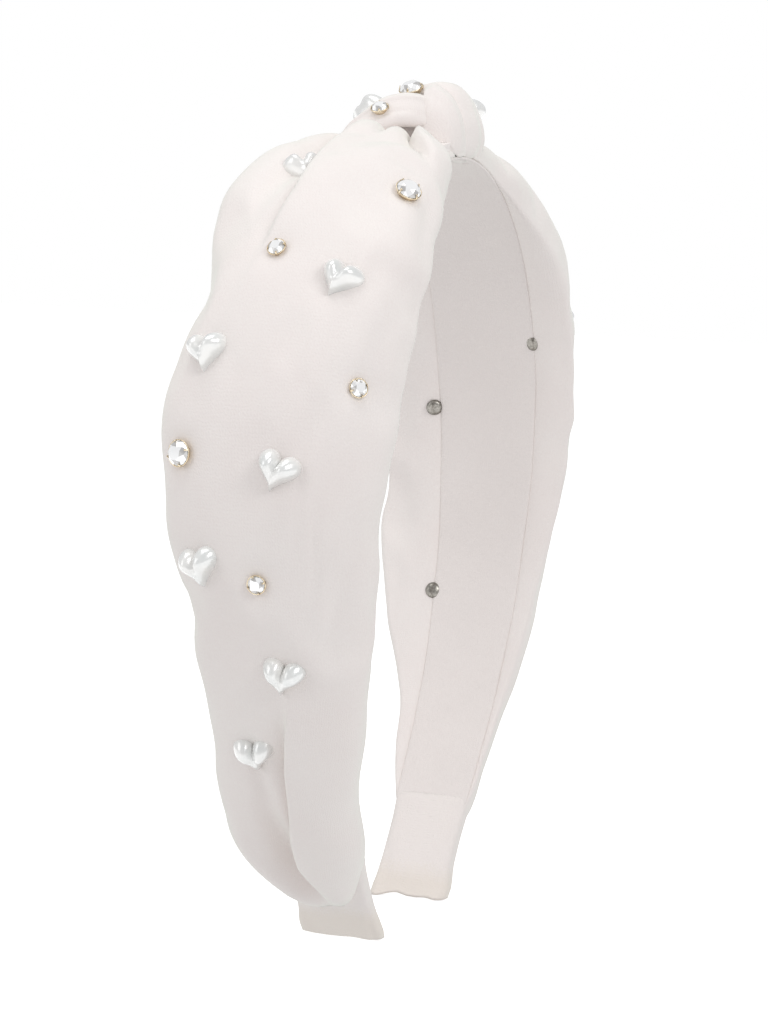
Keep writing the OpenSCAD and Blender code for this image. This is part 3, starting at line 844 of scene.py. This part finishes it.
spots = {}
for side, shape, label in ((-1, LEFT, "left"), (1, RIGHT, "right")):
    for kind in ("hearts", "crystals"):
        for i, (s, turn, value) in enumerate(shape[kind]):
            start, facing = on_cover(side, s, turn)
            place, normal = press_on(cover_skins[side], start + facing * 0.012, -facing)
            spots[f"{label}_{kind[:-1]}_{i + 1}"] = (place, normal, value)
for name, value, facing, nudge in (
        ("knot_heart_1", 20, (-0.1, 0.6, 1), (0.6, 1.9, -1.2)),
        ("knot_heart_2", 0, (0.75, -0.6, 0.3), (1.4, 2.8, 0.3)),
        ("knot_crystal_1", 0, (-0.6, -0.1, 1), (-1.0, -0.6, -1.9)),
        ("knot_crystal_2", 1, (-0.25, 0, 1), (0, 1.2, -1.0)), ("knot_crystal_3", 0, (0.4, 0, 1), (0, 0, 0))):
    place, normal = on_knot(name, facing)
    spots[name] = (place + Vector(nudge) * MM, normal, value)

for label in ("left", "right", "knot"):
    skin = knot_skin if label == "knot" else cover_skins[-1 if label == "left" else 1]
    shapes = []
    for name, (place, normal, _) in spots.items():
        if not name.startswith(label):
            continue
        back, depth = None, 1.6 * MM
        if label != "knot":
            back = skin.ray_cast(place - normal * 0.03, normal)[0]
        if back is not None and (place - back).length > 1.5 * MM:
            depth = (place - back).length
        foot = stand_on(place - normal * depth, -normal)
        shapes.append(lathe(RIVET_BACK, foot))
        shapes.append(lathe([(PIN_R, -depth / MM + 0.3), (PIN_R, 0)], foot, 16))
    rivets = joined(label + "_rivet_pins", shapes)
    rivets.data.polygons.foreach_set("use_smooth", [len(face.vertices) == 4 for face in rivets.data.polygons])
    rivets.data.materials.append(steel)
    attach(rivets, "root")
    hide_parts(label + "_rivets")

# ---- The heart pearls ----
# Moulded hearts, domed and deeply cleft, with a pearly lacquer. Each is pressed a
# little into the fabric by its rivet.

HEART_W, HEART_RISE = 8.0, 3.7
pearl, tree, shader = new_material("heart_pearl", (0.84, 0.84, 0.82), 0.26)
shader.inputs["Metallic"].default_value = 0.25
shader.inputs["Coat Weight"].default_value = 1.0
shader.inputs["Coat Roughness"].default_value = 0.04
shader.inputs["Coat IOR"].default_value = 1.6
lustre = add_noise(tree, 260, 2)
blend_colours(tree, shader, lustre.outputs["Fac"], (0.78, 0.79, 0.78), (0.87, 0.86, 0.84))
add_bump(tree, shader, lustre.outputs["Fac"], 0.08, 0.00004)


def heart_shape():
    """Points and faces of a heart, in millimetres, standing on the XY plane with its cleft towards +Y"""
    q = np.linspace(0, 2 * math.pi, 72, endpoint=False)
    edge_x = 16 * np.sin(q) ** 3 * HEART_W / 32
    edge_y = (13 * np.cos(q) - 5 * np.cos(2 * q) - 2 * np.cos(3 * q) - np.cos(4 * q) + 2.5) * HEART_W / 32
    rings = [(0.96, -0.9), (1.0, 0.0)] + [(math.sin(v), None) for v in np.radians(np.arange(84, 3, -6))]
    points, faces = [], []
    for share, level in rings:
        x, y = share * edge_x, share * edge_y
        dome = math.sqrt(max(0, 1 - share ** 2.4))
        lobes = np.exp(-((np.abs(x) - 1.9) ** 2 + (y - 1.0) ** 2) / 5)
        cleft = np.exp(-(x / 0.75) ** 2) * np.clip((y + 1.6) / 3.2, 0, 1)
        z = HEART_RISE * dome * (0.78 + 0.26 * lobes - 0.34 * cleft) if level is None else 0 * x + level
        points += [Vector(p) for p in zip(x, y, z)]
    count = len(q)
    for i in range(len(rings) - 1):
        for k in range(count):
            after = (k + 1) % count
            faces.append((i * count + k, (i + 1) * count + k, (i + 1) * count + after, i * count + after))
    ring = (len(rings) - 1) * count
    heights = [p.z for p in points[ring:]]
    points.append(Vector((0, 0, (max(heights) + min(heights)) / 2)))
    faces += [(ring + (k + 1) % count, ring + k, len(points) - 1) for k in range(count)]
    faces.append(tuple(range(count)))
    return points, faces


heart_points, heart_faces = heart_shape()
for name, (place, normal, spin) in spots.items():
    if "heart" not in name:
        continue
    put = stand_on(place, normal, spin) @ Matrix.Scale(MM, 4)
    heart = new_mesh(name + "_pearl", [put @ p for p in heart_points], heart_faces)
    heart.data.polygons.foreach_set("use_smooth", [len(face.vertices) < 5 for face in heart.data.polygons])
    heart.data.materials.append(pearl)
    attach(heart, "root")
    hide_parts(name)

# ---- The crystals and their cups ----
# Foil-backed glass stones, cut with an eight-sided table, in thin gold-plated cups
# whose four claws are bent over the stone's edge.

SMALL_D, BIG_D, SUNK = 3.2, 4.6, 0.4
stone, tree, shader = new_material("cut_glass", (0.8, 0.82, 0.82), 0.05)
shader.inputs["Metallic"].default_value = 0.35
shader.inputs["Coat Weight"].default_value = 1.0
shader.inputs["Coat Roughness"].default_value = 0.02
# painted reflection: each facet's fixed light or dark tone in the stone's colour stands in for what the facets
# reflect
facet_reflection = tree.nodes.new("ShaderNodeAttribute")
facet_reflection.attribute_name = "facet_reflection"
blend_colours(tree, shader, facet_reflection.outputs["Fac"], (0.55, 0.54, 0.53), (1.0, 1.0, 1.0))
gold, tree, shader = new_material("pale_gold", (0.72, 0.55, 0.36), 0.25)
shader.inputs["Metallic"].default_value = 1.0
shade = add_noise(tree, 900, 2)
blend_colours(tree, shader, shade.outputs["Fac"], (0.62, 0.49, 0.32), (0.84, 0.74, 0.56))
add_bump(tree, shader, shade.outputs["Fac"], 0.15, 0.00003)


def stone_shape(r):
    """A brilliant cut above its girdle, and a plain cone below it, in millimetres"""
    low, girdle, top = 0.35, 0.35 + 0.5 * r, 0.35 + 1.02 * r

    def ring(radius, height, count, start):
        turns = [2 * math.pi * (k + start) / count for k in range(count)]
        return [Vector((radius * math.cos(q), radius * math.sin(q), height)) for q in turns]

    table, mid = ring(0.56 * r, top, 8, 0), ring(0.82 * r, girdle + 0.34 * r, 8, 0.5)
    upper, under = ring(r, girdle + 0.06 * r, 16, 0), ring(r, girdle, 16, 0)
    culet = ring(0.35 * r, low, 16, 0)
    points = table + mid + upper + under + culet
    faces = [tuple(range(8))]
    for k in range(8):
        after, before = (k + 1) % 8, (k - 1) % 8
        faces.append((k, 8 + k, after))
        faces.append((k, 8 + before, 16 + 2 * k, 8 + k))
        faces.append((8 + k, 16 + 2 * k, 16 + 2 * k + 1))
        faces.append((8 + k, 16 + 2 * k + 1, 16 + (2 * k + 2) % 16))
    for k in range(16):
        after = (k + 1) % 16
        faces.append((16 + k, 32 + k, 32 + after, 16 + after))
        faces.append((32 + k, 48 + k, 48 + after, 32 + after))
    faces.append(tuple(range(48, 64)))
    return points, faces


def claw_shape(r, turn):
    """A flat claw that rises from the cup's rim and bends over the girdle"""
    girdle = 0.35 + 0.5 * r
    bend = [(r + 0.05, girdle - 0.45, 0.26), (r + 0.08, girdle + 0.05, 0.22), (r - 0.02, girdle + 0.24, 0.18),
            (0.88 * r, girdle + 0.34 * r, 0.1)]
    points, faces = [], []
    for radius, height, half in bend:
        for grow, sideways in ((0, -half), (0, half), (0.1, half), (0.1, -half)):
            point = Vector((radius + grow, sideways, height + grow * 0.6))
            points.append(Matrix.Rotation(turn, 3, "Z") @ point)
    for i in range(len(bend) - 1):
        for q in range(4):
            faces.append((4 * i + q, 4 * i + (q + 1) % 4, 4 * i + 4 + (q + 1) % 4, 4 * i + 4 + q))
    faces += [(0, 1, 2, 3), (15, 14, 13, 12)]
    return points, faces


def cup_profile(r):
    """The cup's wall, from inside its floor up over the rim and down the outside"""
    girdle = 0.35 + 0.5 * r
    return [(0.01, 0.3), (0.4 * r, 0.3), (r + 0.02, girdle - 0.02), (r + 0.04, girdle + 0.08),
            (r + 0.16, girdle + 0.08), (r + 0.18, girdle - 0.05), (0.62 * r, -0.15), (0.01, -0.15)]


for name, (place, normal, value) in spots.items():
    if "crystal" not in name:
        continue
    r = (BIG_D if value else SMALL_D) / 2
    place = place - normal * SUNK * MM
    foot = stand_on(place, normal, 11.0 * len(name))
    put = foot @ Matrix.Scale(MM, 4)
    points, faces = stone_shape(r)
    crystal = joined(name + "_stone", [([put @ p for p in points], faces)])
    # painted reflection: a fixed light or dark tone for each face of the stone
    tone = crystal.data.attributes.new("facet_reflection", "FLOAT", "FACE")
    tone.data.foreach_set("value", [0.5 + 0.5 * math.sin(k * 2.4 + r) for k in range(len(faces))])
    crystal.data.materials.append(stone)
    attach(crystal, "root")
    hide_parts(name)
    cup_name = name.replace("crystal", "cup")
    claws = [claw_shape(r, math.pi / 4 + k * math.pi / 2) for k in range(4)]
    cup = joined(cup_name + "_setting", [lathe(cup_profile(r), foot, 32)]
                 + [([put @ p for p in points], faces) for points, faces in claws])
    cup.data.polygons.foreach_set("use_smooth", [len(face.vertices) == 4 for face in cup.data.polygons])
    cup.data.materials.append(gold)
    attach(cup, "root")
    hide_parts(cup_name)
